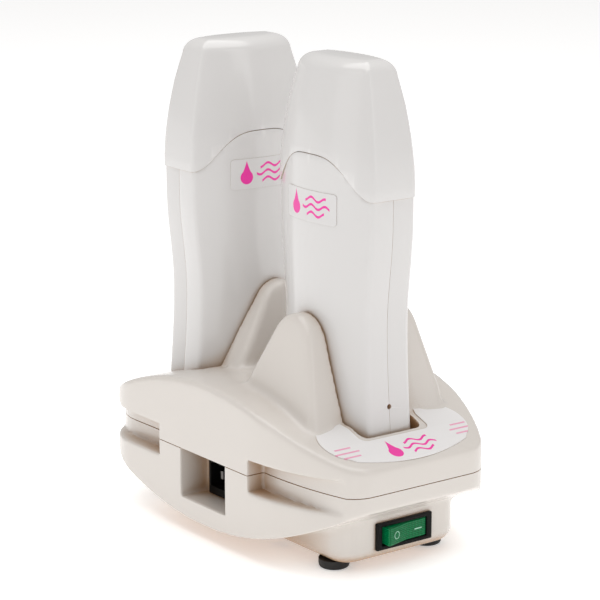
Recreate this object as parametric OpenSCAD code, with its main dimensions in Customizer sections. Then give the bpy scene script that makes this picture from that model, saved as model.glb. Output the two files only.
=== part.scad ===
// Two-station roll-on wax warmer: a moulded dock with two lift-out hand-held
// cartridge heaters. X runs across the dock, -Y is the switch end, +Z is up.
// The origin is the centre of the dock's footprint, on the surface it stands on.

/* [Dock] */
// Width across the two side panels
dock_w = 114; // [112:1:116]
// Length from the front lobe to the back
dock_l = 194; // [192:1:196]
// Height of the joint between the upper and lower shells
seam_z = 42; // [41.5:0.5:42.5]
// Height of the arched top at mid length
arch_z = 78; // [77:1:80]
// Height of the lowest point of the boat-shaped underside
belly_z = 7.5; // [7:0.5:8.5]
// Wall thickness of the dock shells
dock_wall = 2.5; // [2:0.1:2.8]
// Height of the cradle fins
fin_z = 117; // [110:1:120]
// Lower edge of the four grip notches
notch_z0 = 34; // [33:0.5:35]
// Upper edge of the four grip notches
notch_z1 = 50; // [49:0.5:51]

/* [Heaters] */
// Length of the heater's cross-section
heater_l = 71.8; // [71:0.2:72.4]
// Thickness of the heater at the crown of its broad faces
heater_t = 45.2; // [44.8:0.2:45.6]
// Thickness at the edge of the narrow faces
heater_edge_t = 25.2; // [24.8:0.2:25.8]
// Height of the heater's foot above the table
heater_foot_z = 40; // [40:0.1:40.4]
// Height of the cap's skirt at the narrow faces
skirt_z = 172; // [171:1:173]
// Height of the skirt's arch on the broad faces
skirt_peak_z = 191; // [190:1:192]
// Overall height with both caps on
overall_h = 235.6; // [234:0.2:237]
// Place of the front heater along the dock
front_y = -38.6; // [-39:0.2:-38.4]
// Place of the rear heater along the dock
rear_y = 49.4; // [49:0.2:49.6]

/* [Mains parts] */
// Width of the rocker switch's bezel
bezel_w = 33; // [32:0.5:34]
// Height of the rocker switch's bezel
bezel_h = 13.2; // [12.6:0.2:13.6]
// Height of the switch's centre
switch_z = 16.1; // [15.6:0.1:16.4]
// Tilt of the rocker from its middle to either stop
rocker_tilt = 8; // [6:1:9]
// Width of the inlet window
window_w = 37.4; // [36.8:0.2:37.8]
// Lower edge of the inlet window
window_z0 = 17.6; // [17:0.2:18.4]

/* [Hidden] */
$fn = 64;

ivory = [0.90, 0.88, 0.86];
pearl = [0.91, 0.90, 0.89];
film = [0.95, 0.95, 0.95];
black = [0.06, 0.06, 0.06];
switch_green = [0.0, 0.45, 0.22];
brass = [0.80, 0.62, 0.28];
steel = [0.72, 0.72, 0.74];
alloy = [0.78, 0.79, 0.80];
wax = [0.93, 0.72, 0.36];
rubber = [0.09, 0.09, 0.10];

half_w = dock_w / 2;
half_l = dock_l / 2;
far = 400;             // longer than any piece, for cutting tools
tiny = 0.01;
// side of the dock in plan: straight at mid length, a long curve to the front corner
side_y = 37;           // the straight side panel reaches this far from mid length
side_r = 100;
corner_r = 15;
back_r = 33;
side_cx = half_w - side_r;
corner_cy = corner_r - half_l;
corner_dy = -side_y - corner_cy;
corner_cx = side_cx + sqrt(pow(side_r - corner_r, 2) - pow(corner_dy, 2));
corner_a = asin(corner_dy / (side_r - corner_r));
// wall behind the grip notches
core_front_x = 47.5;
core_back_x = 48.5;
core_r = 185;
core_y = 42;
core_corner_r = 30;
core_a = asin((half_l + 5 - core_y) / core_r);
// side elevation
arch_r = 180;
belly_r = 190;
lobe_y = -60;          // forward of this the top runs straight on, at the arch's slope there
plinth_w = 72;
plinth_l = 165.4;
plinth_z = 4;
plinth_r = 12;
foot_x = 28;
foot_y = 66.4;
foot_r = 7.4;
foot_dome_r = 10;
stud_r = 2.5;
screw_x = 30;
screw_ys = [-28, 24];
screw_r = 1.5;
boss_r = 4;
// heater section and clearances
crown_sag = (heater_t - heater_edge_t) / 2;
crown_r = (pow(heater_l / 2, 2) + pow(crown_sag, 2)) / (2 * crown_sag);
crown_c = crown_r - heater_t / 2;
well_gap = 0.6;
well_wall = 2.2;
well_end_w = 35;
well_end_r = 4;
well_floor_z = heater_foot_z - 0.3;
well_floor_t = 2.5;
skirt_rise = skirt_peak_z - skirt_z;
skirt_r = (pow(heater_l / 2, 2) + pow(skirt_rise, 2)) / (2 * skirt_rise);
skirt_c = skirt_peak_z - skirt_r;
skirt_gap = 0.3;
waist_x = 33.5;        // half length at the waist
waist_z = 112;
waist_low_r = 166;     // the grip scoop is tighter below the waist than above it
waist_high_r = 725;
waist_low_z = 84;
waist_high_z = 171;
shell_wall = 2.4;
neck_wall = 1.8;
neck_top_z = 196;
neck_start_z = 163;
cavity_end = 30.5;
cap_wall = 2.1;
cap_taper_z = 186;
cap_shoulder_z = 219;
cap_taper = 0.86;
cap_corner_r = 13;
sticker_l = 40;
sticker_h = 16;
sticker_z = 159.5;
sticker_t = 0.3;
pad_y = 14;
pad_r = 4;
pin_r = 2;
pin_gap = 0.3;         // resting gap between a pin and its pad
block_z0 = 28;
block_top = well_floor_z - well_floor_t;
shell_screw_y = 22;
shell_screw_z = 50;
lamp_z = 74;
sleeve_z0 = 57;
sleeve_z1 = 162;
cart_z0 = sleeve_z0 + 2;
cart_z1 = 178;
roller_z = 208;
roller_r = 8;
roller_l = 42;
axle_r = 1.5;
inlet_x = -41.5;       // back wall of the inlet pocket
inlet_z = (seam_z + window_z0) / 2;
inlet_w = 27.4;
inlet_h = seam_z - window_z0 - 1;
plinth_front = -plinth_l / 2;

function arc(cx, cy, r, a0, a1, n) =
    [for (i = [0:n]) let (a = a0 + (a1 - a0) * i / n) [cx + r * cos(a), cy + r * sin(a)]];
function mirrored(side) = concat(side, [for (i = [len(side) - 1:-1:0]) [-side[i][0], side[i][1]]]);
function arch_at(y) = arch_z - arch_r + sqrt(arch_r * arch_r - y * y);
function top_at(y) = y > lobe_y
    ? arch_at(y)
    : arch_at(lobe_y) + (lobe_y - y) * lobe_y / sqrt(arch_r * arch_r - lobe_y * lobe_y);
top_ys = [for (i = [-12:12]) half_l * i / 12];

// ---------- plan outlines of the dock ----------
module dock_outline(o = 0) {
    polygon(mirrored(concat(
        arc(corner_cx, corner_cy, corner_r - o, -90, -corner_a, 6),
        arc(side_cx, -side_y, side_r - o, -corner_a, 0, 6),
        arc(half_w - back_r, half_l - back_r, back_r - o, 0, 90, 8)
    )));
}

module core_outline(o = 0) {
    polygon(mirrored(concat(
        arc(core_front_x - core_r, -core_y, core_r - o, -core_a, 0, 5),
        arc(core_back_x - core_corner_r, half_l + 5 - core_corner_r, core_corner_r - o, 0, 90, 8)
    )));
}

module rounded_bar(l, w, r) {
    square([w - 2 * r, l], center = true);
    square([w, l - 2 * r], center = true);
    for (x = [-1, 1], y = [-1, 1]) translate([x * (w / 2 - r), y * (l / 2 - r)]) circle(r = r);
}

module slab(z0, z1) { translate([0, 0, z0]) linear_extrude(height = z1 - z0) children(); }
// a (Y, Z) outline extruded across the dock
module across(w = far) { rotate([90, 0, 90]) linear_extrude(height = w, center = true) children(); }
// an (X, Z) outline extruded along the dock
module along(l = far) { rotate([90, 0, 0]) linear_extrude(height = l, center = true) children(); }

// ---------- side outlines of the dock ----------
module below_top(drop = 0) {
    polygon(concat([for (y = top_ys) [y, top_at(y) - drop]], [[half_l, 0], [-half_l, 0]]));
}

module above_belly(raise = 0) {
    difference() {
        translate([-half_l, 0]) square([dock_l, far / 2]);
        difference() {
            translate([-half_l - 1, -1]) square([dock_l + 2, belly_z + 60]);
            translate([0, belly_z + belly_r]) circle(r = belly_r - raise, $fn = 180);
        }
    }
}

module notches() {
    slab(notch_z0, notch_z1) difference() {
        for (s = [-1, 1]) translate([-half_w - 5, s > 0 ? side_y + 0.2 : -half_l - 5])
            square([dock_w + 10, half_l + 5 - side_y - 0.2]);
        core_outline();
    }
}

// space inside both dock shells, clear of the notches' walls
module dock_hollow() {
    slab(0, far / 2) intersection() { dock_outline(dock_wall); core_outline(dock_wall); }
    slab(0, far / 2) square([dock_w - 2 * dock_wall, 2 * side_y - 2 * dock_wall], center = true);
    slab(0, notch_z0 - dock_wall) dock_outline(dock_wall);
    slab(notch_z1 + dock_wall, far / 2) dock_outline(dock_wall);
}

// ---------- heater section, long axis along local Y ----------
module heater_section(o = 0) {
    intersection() {
        translate([crown_c, 0]) circle(r = crown_r - o, $fn = 180);
        translate([-crown_c, 0]) circle(r = crown_r - o, $fn = 180);
        square([far, heater_l - 2 * o], center = true);
    }
}

module at_front() { translate([0, front_y, 0]) children(); }
module at_rear() { translate([0, rear_y, 0]) rotate([0, 0, 90]) children(); }

// the cradle fins of one station, on the heater's broad faces: both at the front, one at the rear
fin_r = 10;
fin_side_a = 27;
fin_foot_z = 46;
fin_c = fin_z - fin_r;
fin_axis_y = 15.3;     // half width of the feet at the heater's axis, and at their outer ends
fin_out_y = 34.2;
module fin_feet(grow = 0, faces = [0, 1]) {
    offset(delta = grow) for (s = faces) mirror([s, 0])
        polygon([[0, -fin_axis_y], [0, fin_axis_y], [45, fin_out_y], [45, -fin_out_y]]);
}

module fins(faces = [0, 1]) {
    intersection() {
        across() polygon(mirrored(concat(
            [[fin_r / cos(fin_side_a) + (fin_c - fin_foot_z) * tan(fin_side_a), fin_foot_z]],
            arc(0, fin_c, fin_r, fin_side_a, 90, 6)
        )));
        along() polygon(mirrored([[44, fin_foot_z], [31, fin_z], [0, fin_z]]));
        slab(fin_foot_z, fin_z) fin_feet(0, faces);
    }
}

// the well hugs the heater's crowns and is squared out at its ends
module well_outline(o = 0) {
    heater_section(-well_gap - o);
    rounded_bar(heater_l + 2 * (well_gap + o), well_end_w + 2 * o, well_end_r + o);
}

module well_wall_solid() {
    slab(block_top, fin_z) well_outline(well_wall);
}

module well_space() {
    slab(well_floor_z, far / 2) well_outline();
    for (y = [-pad_y, pad_y]) cylinder_at(y, block_top - 1, well_floor_z + 1, pin_r + 0.5);
}

module screw_places() { for (x = [-screw_x, screw_x], y = screw_ys) translate([x, y, 0]) children(); }
module foot_places() { for (x = [-foot_x, foot_x], y = [-foot_y, foot_y]) translate([x, y, 0]) children(); }

// ---------- dock ----------
module base_top_shell() {
    color(ivory) difference() {
        union() {
            difference() {
                union() {
                    intersection() { slab(seam_z, far / 2) dock_outline(); across() below_top(); }
                    intersection() {
                        union() { at_front() fins(); at_rear() fins([1]); }
                        slab(seam_z, far / 2) dock_outline(1);
                    }
                }
                intersection() { dock_hollow(); across() below_top(dock_wall); }
            }
            intersection() {
                union() { at_front() well_wall_solid(); at_rear() well_wall_solid(); }
                across() below_top(tiny);
            }
            intersection() {
                screw_places() translate([0, 0, seam_z]) cylinder(r = boss_r, h = 40);
                across() below_top(1);
            }
        }
        at_front() well_space();
        at_rear() well_space();
        notches();
        screw_places() translate([0, 0, seam_z - 1]) cylinder(r = screw_r, h = 13);
    }
}

module base_bottom_shell() {
    color(ivory) difference() {
        union() {
            difference() {
                union() {
                    intersection() { slab(0, seam_z) dock_outline(); across() above_belly(); }
                    slab(plinth_z, seam_z - 4) rounded_bar(plinth_l, plinth_w, plinth_r);
                }
                intersection() { dock_hollow(); across() above_belly(dock_wall); }
                slab(plinth_z + dock_wall, seam_z + 1)
                    rounded_bar(plinth_l - 2 * dock_wall, plinth_w - 2 * dock_wall, plinth_r - dock_wall);
            }
            inlet_pocket_walls();
            screw_places() translate([0, 0, plinth_z]) cylinder(r = boss_r, h = seam_z - plinth_z - 0.2);
        }
        inlet_pocket_space();
        notches();
        screw_places() {
            translate([0, 0, plinth_z - 1]) cylinder(r = 3.4, h = 7);
            cylinder(r = screw_r + 0.2, h = seam_z + 1);
        }
        foot_places() cylinder(r = stud_r, h = 12);
        translate([0, plinth_front, switch_z]) cube([30.4, 12, 11.4], center = true);
    }
}

pocket_wall = 2;
module inlet_pocket_walls() {
    intersection() {
        translate([-half_w, -window_w / 2 - pocket_wall, window_z0 - pocket_wall]) cube([
            half_w + inlet_x + pocket_wall,
            window_w + 2 * pocket_wall,
            seam_z - window_z0 + pocket_wall
        ]);
        slab(0, seam_z) dock_outline();
    }
}

module inlet_pocket_space() {
    translate([-half_w - 1, -window_w / 2, window_z0])
        cube([half_w + inlet_x + 1, window_w, seam_z]);
    translate([inlet_x, 0, inlet_z]) cube([12, inlet_w + 0.3, inlet_h + 0.3], center = true);
}

label_y = -80;
label_l = 28;
label_w = 87;
label_r = 13.5;
label_gap = 3.4;
label_t = 0.4;
label_glue = 0.05;
module front_label() {
    color(film) intersection() {
        slab(seam_z, far / 2) difference() {
            intersection() {
                translate([0, label_y]) rounded_bar(label_l, label_w, label_r);
                dock_outline(3);
            }
            at_front() heater_section(-label_gap);
            at_front() fin_feet(label_gap);
        }
        across() polygon(concat(
            [for (y = top_ys) if (y < -40) [y, top_at(y) + label_glue]],
            [for (y = top_ys) if (y > 40) [-y, top_at(-y) + label_t]]
        ));
    }
}

module rubber_feet() {
    color(rubber) foot_places() {
        rotate_extrude() intersection() {
            translate([0, foot_dome_r - 0.8]) circle(r = foot_dome_r);
            square([foot_r, plinth_z]);
        }
        translate([0, 0, plinth_z - 1]) cylinder(r = stud_r, h = 6);
    }
}

module base_screws() {
    color(steel) screw_places() {
        difference() {
            translate([0, 0, 8]) cylinder(r = 2.9, h = 2);
            translate([0, 0, 7.5]) cube([4, 0.8, 2], center = true);
            translate([0, 0, 7.5]) cube([0.8, 4, 2], center = true);
        }
        translate([0, 0, 9.9]) cylinder(r = screw_r, h = 43);
    }
}

// ---------- mains parts ----------
module inlet_body() {
    color(black) difference() {
        union() {
            translate([inlet_x + 9, 0, inlet_z]) cube([22, inlet_w, inlet_h], center = true);
        }
        translate([inlet_x - 3, 0, inlet_z]) rotate([90, 0, 90]) linear_extrude(height = 17)
            polygon([[-12, -7.8], [12, -7.8], [12, 3.5], [8.5, 7.8], [-8.5, 7.8], [-12, 3.5]]);
        inlet_pin_places() translate([-1, -1, -2]) cube([30, 2, 4]);
    }
}

module inlet_pin_places() {
    for (p = [[-7, -2], [7, -2], [0, 2.6]]) translate([inlet_x, p[0], inlet_z + p[1]]) children();
}

module inlet_pins() {
    color(brass) inlet_pin_places() translate([1, -1, -2]) cube([23, 2, 4]);
}

module switch_housing() {
    color(black) difference() {
        union() {
            translate([-bezel_w / 2, plinth_front - 1.8, switch_z - bezel_h / 2])
                cube([bezel_w, 1.8, bezel_h]);
            translate([-15, plinth_front - tiny, switch_z - 5.5]) cube([30, 20, 11]);
        }
        translate([-13, plinth_front - 3, switch_z - 4.4]) cube([26, 12, 8.8]);
        translate([-5, plinth_front + 8, switch_z - 3]) cube([10, 6, 6]);
        switch_axis() cylinder(r = 1.06, h = 10.4, center = true);
        switch_tab_places() translate([-0.4, -10, -2.4]) cube([0.8, 24, 4.8]);
    }
}

module switch_axis() { translate([0, plinth_front + 3, switch_z]) children(); }

// rocker cap, tipped to its rest stop with the +X end pressed in
module switch_rocker() {
    color(switch_green) switch_axis() rotate([0, 0, rocker_tilt]) {
        difference() {
            translate([0, 0, -4.1]) linear_extrude(height = 8.2) polygon(concat(
                [[-12.2, -1.4], [-12.2, -4.9]],
                [for (x = [-9:3:9]) [x, -4.0 - 0.011 * x * x]],
                [[12.2, -4.9], [12.2, -1.4], [6, 2.2], [-6, 2.2]]
            ));
            translate([0, 1.7, 0]) cube([8, 2, 5], center = true);
        }
        cylinder(r = 1, h = 10, center = true);
    }
}

module switch_lamp() {
    color("orange") translate([0, plinth_front + 10.5, switch_z]) rotate([0, 90, 0])
        cylinder(r = 1.6, h = 9, center = true);
}

module switch_tab_places() { for (x = [-10, 0, 10]) translate([x, plinth_front + 20, switch_z]) children(); }

module switch_terminals() {
    color(brass) switch_tab_places() translate([-0.4, -6, -2.4]) cube([0.8, 14, 4.8]);
}

block_x = 20;
block_y = -2;
module terminal_block() {
    color([0.92, 0.9, 0.82]) translate([block_x, block_y, plinth_z + dock_wall]) difference() {
        translate([-5, -14, 0]) cube([10, 28, 12]);
        for (y = [-9, -3, 3, 9]) translate([0, y, 5]) {
            rotate([0, 90, 0]) cylinder(r = 1.6, h = 20, center = true);
            cylinder(r = 1.8, h = 10);
        }
    }
}

// an insulated wire: straight runs with round elbows
wire_r = 1;
module wire(route, r = wire_r) {
    for (i = [0:len(route) - 2]) {
        d = route[i + 1] - route[i];
        translate(route[i]) rotate([0, acos(d[2] / norm(d)), atan2(d[1], d[0])])
            cylinder(r = r, h = norm(d), $fn = 24);
        if (i > 0) translate(route[i]) sphere(r = r * 1.08, $fn = 24);
    }
}

pin_end_x = inlet_x + 24;
tab_end_y = plinth_front + 28;
block_wire_z = plinth_z + dock_wall + 5;
module wire_live() {
    color("saddlebrown") wire([[pin_end_x, -7, inlet_z - 2], [-12, -7, inlet_z - 2], [-12, -7, 13],
        [-12, -50, 13], [-10, -50, 13], [-10, -50, switch_z], [-10, tab_end_y, switch_z]]);
}

module wire_neutral() {
    color("royalblue") wire([[pin_end_x, 7, inlet_z - 2], [-8, 7, inlet_z - 2], [-8, 7, block_wire_z],
        [block_x - 2, 7, block_wire_z]]);
}

// supply pair from the terminal block to one contact block, s = -1 front, 1 rear
module supply_pair(s, y) {
    x0 = block_x + 2;
    for (k = [0, 1]) {
        y0 = block_y + s * (3 + 6 * k);
        z1 = 20 + 4 * k;
        x1 = 2.5 - 5 * k;
        wire([[x0, y0, block_wire_z], [x0 + 6, y0, block_wire_z], [x0 + 6, y0, z1],
            [x1, y0, z1], [x1, y, z1], [x1, y, block_z0]]);
    }
}

module wire_front_pair() { color("firebrick") supply_pair(-1, front_y); }
module wire_rear_pair() { color("firebrick") supply_pair(1, rear_y); }

// ---------- sprung contacts of one station ----------
collar_z = block_top - 2.5;
module contact_block() {
    color(black) difference() {
        translate([-6, -21, block_z0]) cube([12, 42, block_top - block_z0]);
        for (y = [-pad_y, pad_y]) translate([0, y, 0]) {
            translate([0, 0, block_z0 + 1.5]) cylinder(r = 3.2, h = block_top - block_z0 - 2.7);
            translate([0, 0, block_z0 + 2]) cylinder(r = pin_r + 0.08, h = 12);
        }
    }
}

module contact_pin(y) {
    color(brass) translate([0, y, 0]) {
        cylinder_between(collar_z, well_floor_z + 0.3 - pin_gap, pin_r);
        cylinder_between(collar_z, collar_z + 1.2, 3);
        cylinder_between(collar_z - 2.6, collar_z + tiny, 1);
    }
}

module cylinder_between(z0, z1, r) { translate([0, 0, z0]) cylinder(r = r, h = z1 - z0); }

// compression spring under the pin's collar
spring_turns = 4;
spring_steps = 12;
spring_sides = 6;
spring_wire = 0.3;
spring_z0 = block_z0 + 1.5 + spring_wire + 0.02;
spring_z1 = collar_z - spring_wire - 0.02;
module contact_spring(y) {
    n = spring_turns * spring_steps;
    rings = [for (i = [0:n], j = [0:spring_sides - 1])
        let (a = 360 * i / spring_steps, b = 360 * j / spring_sides, r = 2.3 + spring_wire * cos(b))
        [r * cos(a), r * sin(a), spring_z0 + (spring_z1 - spring_z0) * i / n + spring_wire * sin(b)]];
    walls = [for (i = [0:n - 1], j = [0:spring_sides - 1])
        let (k = (j + 1) % spring_sides, p = i * spring_sides, q = p + spring_sides)
        [p + j, p + k, q + k, q + j]];
    color(steel) translate([0, y, 0]) polyhedron(points = rings, faces = concat(walls,
        [[for (j = [spring_sides - 1:-1:0]) j]], [[for (j = [0:spring_sides - 1]) n * spring_sides + j]]));
}

// ---------- hand-held heater, in its own place with the long axis along Y ----------
// side outline of the scoop in a narrow face, two arcs that meet at the waist
module grip_scoop() {
    low_a = asin((waist_z - waist_low_z) / waist_low_r);
    high_a = asin((waist_high_z - waist_z) / waist_high_r);
    polygon(concat(
        [[heater_l, waist_low_z]],
        arc(waist_x + waist_low_r, waist_z, waist_low_r, 180 + low_a, 180, 8),
        arc(waist_x + waist_high_r, waist_z, waist_high_r, 180, 180 - high_a, 8),
        [[heater_l, waist_high_z]]
    ));
}

module below_skirt(gap = 0) {
    across() difference() {
        union() {
            translate([-heater_l, heater_foot_z]) square([2 * heater_l, skirt_c - heater_foot_z]);
            translate([0, skirt_c]) circle(r = skirt_r + gap, $fn = 180);
        }
        for (s = [0, 1]) mirror([s, 0]) grip_scoop();
    }
}

module heater_shell() {
    difference() {
        union() {
            intersection() { slab(heater_foot_z, skirt_peak_z + 1) heater_section(); below_skirt(); }
            cap_form(neck_start_z - 5, neck_top_z, shell_wall);
        }
        difference() {
            union() {
                slab(heater_foot_z + 3, neck_start_z) intersection() {
                    heater_section(shell_wall);
                    square([heater_t, 2 * cavity_end], center = true);
                }
                slab(neck_start_z - 1, neck_top_z + 1) intersection() {
                    heater_section(shell_wall + neck_wall);
                    square([heater_t, 2 * cavity_end], center = true);
                }
            }
            for (y = [-shell_screw_y, shell_screw_y]) translate([0, y, shell_screw_z]) rotate([0, 90, 0])
                cylinder(r = 3.5, h = heater_t, center = true);
            for (s = [-1, 1]) translate([-14, s * 25 - 1, heater_foot_z])
                cube([28, 2, sleeve_z0 - heater_foot_z]);
        }
        for (y = [-pad_y, pad_y]) cylinder_at(y, heater_foot_z - 1, heater_foot_z + 4, pad_r);
        for (y = [-shell_screw_y, shell_screw_y]) translate([-13, y, shell_screw_z]) rotate([0, 90, 0]) {
            cylinder(r = screw_r, h = 40);
            translate([0, 0, 28]) cylinder(r = 3.1, h = 20);
        }
        translate([0, -heater_l / 2 - 1, lamp_z]) rotate([-90, 0, 0]) cylinder(r = 0.8, h = 8);
    }
}

module cylinder_at(y, z0, z1, r) { translate([0, y, z0]) cylinder(r = r, h = z1 - z0); }

// s = -1 for the half on local -X, 1 for the other
module shell_half(s) {
    color(pearl) intersection() {
        heater_shell();
        translate([s > 0 ? 0 : -far, -far / 2, 0]) cube([far, far, far]);
    }
}

module shell_screws() {
    color(steel) for (y = [-shell_screw_y, shell_screw_y]) translate([-12.9, y, shell_screw_z])
        rotate([0, 90, 0]) {
        cylinder(r = screw_r, h = 28);
        difference() {
            translate([0, 0, 27.95]) cylinder(r = 2.8, h = 2);
            translate([0, 0, 30.2]) cube([3.6, 0.7, 1.4], center = true);
            translate([0, 0, 30.2]) cube([0.7, 3.6, 1.4], center = true);
        }
    }
}

module sticker() {
    color(film) difference() {
        intersection() {
            slab(sticker_z, sticker_z + sticker_h) heater_section(-sticker_t);
            translate([-far / 2, -sticker_l / 2, 0]) cube([far / 2, sticker_l, far]);
        }
        slab(sticker_z - 1, sticker_z + sticker_h + 1) heater_section();
    }
}

module contact_pads() {
    color(brass) for (y = [-pad_y, pad_y]) {
        cylinder_at(y, heater_foot_z, heater_foot_z + 3.1, pad_r);
        cylinder_at(y, heater_foot_z + 3, heater_foot_z + 4.2, pad_r + 1);
    }
}

module thermostat() {
    color([0.85, 0.83, 0.78]) {
        cylinder_at(0, sleeve_z0 - 6, sleeve_z0, 6.5);
        for (s = [-1, 1]) translate([s * 3.2 - 0.4, -2, sleeve_z0 - 10]) cube([0.8, 4, 4.1]);
    }
}

module heater_sleeve() {
    color(alloy) difference() {
        slab(sleeve_z0, sleeve_z1) rounded_bar(56, 31, 7);
        slab(cart_z0, sleeve_z1 + 1) rounded_bar(52.6, 27.6, 5.3);
    }
}

module heater_plates() {
    color([0.25, 0.25, 0.27]) for (s = [-1, 1]) translate([s * 16.6 - 1.1, -12, 75]) cube([2.2, 24, 70]);
}

module heater_leads() {
    color("firebrick") for (s = [-1, 1]) wire([[0, s * pad_y, heater_foot_z + 4.2], [0, s * pad_y, 49.5],
        [s * 16.6, s * pad_y, 49.5], [s * 16.6, s * 10, 49.5], [s * 16.6, s * 10, 75]], 0.7);
}

module indicator_lamp() {
    color("red") translate([0, -cavity_end + 0.05, lamp_z]) rotate([-90, 0, 0]) cylinder(r = 1.5, h = 2);
}

module cartridge() {
    color([0.94, 0.93, 0.90]) difference() {
        slab(cart_z0, cart_z1) rounded_bar(51, 26, 4.6);
        slab(cart_z0 + 1, cart_z1 + 1) rounded_bar(49, 24, 3.6);
    }
}

module wax_fill() {
    color(wax) slab(cart_z0 + 1, cart_z1 - 10) rounded_bar(49, 24, 3.6);
}

module roller_head() {
    arm_y = roller_l / 2 + 0.4;
    color(switch_green) difference() {
        union() {
            slab(cart_z1, cart_z1 + 3) rounded_bar(51, 26, 4.6);
            slab(cart_z1 + 2, roller_z - 4) rounded_bar(2 * arm_y + 6, 22, 4);
            for (s = [-1, 1]) translate([-6, s * (arm_y + 1.5) - 1.5, roller_z - 6]) cube([12, 3, 6]);
            for (s = [-1, 1]) translate([0, s * (arm_y + 1.5), roller_z]) rotate([90, 0, 0])
                cylinder(r = 6, h = 3, center = true);
        }
        translate([0, 0, roller_z]) rotate([90, 0, 0])
            cylinder(r = roller_r + 0.5, h = 2 * arm_y, center = true);
        translate([0, 0, roller_z]) rotate([90, 0, 0]) cylinder(r = axle_r + 0.06, h = 80, center = true);
        slab(cart_z1 + 6, roller_z) square([10, roller_l - 6], center = true);
    }
}

module roller() {
    color([0.9, 0.9, 0.88]) translate([0, 0, roller_z]) rotate([90, 0, 0]) {
        cylinder(r = roller_r, h = roller_l, center = true);
        cylinder(r = axle_r, h = roller_l + 6.4, center = true);
    }
}

// cap outline seen from one side; h is half its width at the skirt
module cap_outline(h, o = 0) {
    top = overall_h - o;
    side = h - o;
    shoulder = h * cap_taper - o;
    r = min(cap_corner_r, shoulder * 0.62);
    polygon(mirrored(concat([[side, 140], [side, cap_taper_z], [shoulder, min(cap_shoulder_z, top - r)]],
        arc(shoulder - r, top - r, r, 18, 90, 6))));
}

// the cap's outer form, or with an inset its inside or the heater's neck
module cap_form(z0, z1, o = 0) {
    intersection() {
        slab(z0, z1) heater_section(o);
        across() cap_outline(heater_l / 2, o);
        along() cap_outline(heater_t / 2, o);
    }
}

module cap() {
    color(pearl) difference() {
        cap_form(150, overall_h);
        cap_form(140, overall_h, cap_wall);
        across() union() {
            translate([0, skirt_c]) circle(r = skirt_r + skirt_gap, $fn = 180);
            translate([-heater_l, 100]) square([2 * heater_l, skirt_c - 100]);
        }
    }
}

base_top_shell();
base_bottom_shell();
front_label();
rubber_feet();
base_screws();
inlet_body();
inlet_pins();
switch_housing();
switch_rocker();
switch_lamp();
switch_terminals();
terminal_block();
wire_live();
wire_neutral();
wire_front_pair();
wire_rear_pair();
at_front() contact_block();  // front_contact_block
at_front() contact_pin(-pad_y);  // front_pin_a
at_front() contact_pin(pad_y);  // front_pin_b
at_front() contact_spring(-pad_y);  // front_spring_a
at_front() contact_spring(pad_y);  // front_spring_b
at_rear() contact_block();  // rear_contact_block
at_rear() contact_pin(-pad_y);  // rear_pin_a
at_rear() contact_pin(pad_y);  // rear_pin_b
at_rear() contact_spring(-pad_y);  // rear_spring_a
at_rear() contact_spring(pad_y);  // rear_spring_b
at_front() shell_half(-1);  // front_shell_left
at_front() shell_half(1);  // front_shell_right
at_front() shell_screws();  // front_shell_screws
at_front() sticker();  // front_sticker
at_front() contact_pads();  // front_contact_pads
at_front() thermostat();  // front_thermostat
at_front() heater_sleeve();  // front_heater_sleeve
at_front() heater_plates();  // front_heater_plates
at_front() heater_leads();  // front_heater_leads
at_front() indicator_lamp();  // front_indicator_lamp
at_front() cartridge();  // front_cartridge
at_front() wax_fill();  // front_wax_fill
at_front() roller_head();  // front_roller_head
at_front() roller();  // front_roller
at_front() cap();  // front_cap
at_rear() shell_half(-1);  // rear_shell_left
at_rear() shell_half(1);  // rear_shell_right
at_rear() shell_screws();  // rear_shell_screws
at_rear() sticker();  // rear_sticker
at_rear() contact_pads();  // rear_contact_pads
at_rear() thermostat();  // rear_thermostat
at_rear() heater_sleeve();  // rear_heater_sleeve
at_rear() heater_plates();  // rear_heater_plates
at_rear() heater_leads();  // rear_heater_leads
at_rear() indicator_lamp();  // rear_indicator_lamp
at_rear() cartridge();  // rear_cartridge
at_rear() wax_fill();  // rear_wax_fill
at_rear() roller_head();  // rear_roller_head
at_rear() roller();  // rear_roller
at_rear() cap();  // rear_cap
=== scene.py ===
import math

import bpy
import numpy as np
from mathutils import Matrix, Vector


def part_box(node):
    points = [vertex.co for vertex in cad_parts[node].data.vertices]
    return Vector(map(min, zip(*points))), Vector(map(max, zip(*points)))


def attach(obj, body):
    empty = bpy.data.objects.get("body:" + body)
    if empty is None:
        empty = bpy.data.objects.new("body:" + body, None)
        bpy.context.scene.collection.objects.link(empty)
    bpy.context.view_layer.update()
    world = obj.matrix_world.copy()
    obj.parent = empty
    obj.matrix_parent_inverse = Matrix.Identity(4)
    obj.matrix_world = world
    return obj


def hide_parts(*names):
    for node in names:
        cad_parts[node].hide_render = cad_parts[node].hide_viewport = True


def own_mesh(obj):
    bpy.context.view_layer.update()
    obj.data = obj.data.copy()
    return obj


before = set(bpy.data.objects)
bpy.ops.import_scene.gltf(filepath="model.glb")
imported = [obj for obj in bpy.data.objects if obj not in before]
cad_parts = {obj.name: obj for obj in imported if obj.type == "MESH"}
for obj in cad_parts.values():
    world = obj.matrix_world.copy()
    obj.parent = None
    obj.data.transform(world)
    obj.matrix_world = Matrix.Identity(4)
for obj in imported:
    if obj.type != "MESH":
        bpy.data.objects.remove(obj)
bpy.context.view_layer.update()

# ---------- setting ----------
# A pale floor that runs back to a white surround, a wide soft light overhead and two tall soft
# panels, as for a catalogue picture, and the camera a metre off, a little above the caps.
scene = bpy.context.scene
scene.view_settings.view_transform = "Standard"
camera_data = bpy.data.cameras.new("camera")
camera_data.lens = 143.5
camera_data.sensor_width = 36
camera = bpy.data.objects.new("camera", camera_data)
camera.location = (-0.6769, -0.9065, 0.3881)
camera.rotation_euler = (math.radians(76.25), 0, math.radians(-36.82))
scene.collection.objects.link(camera)
scene.camera = camera

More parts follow.
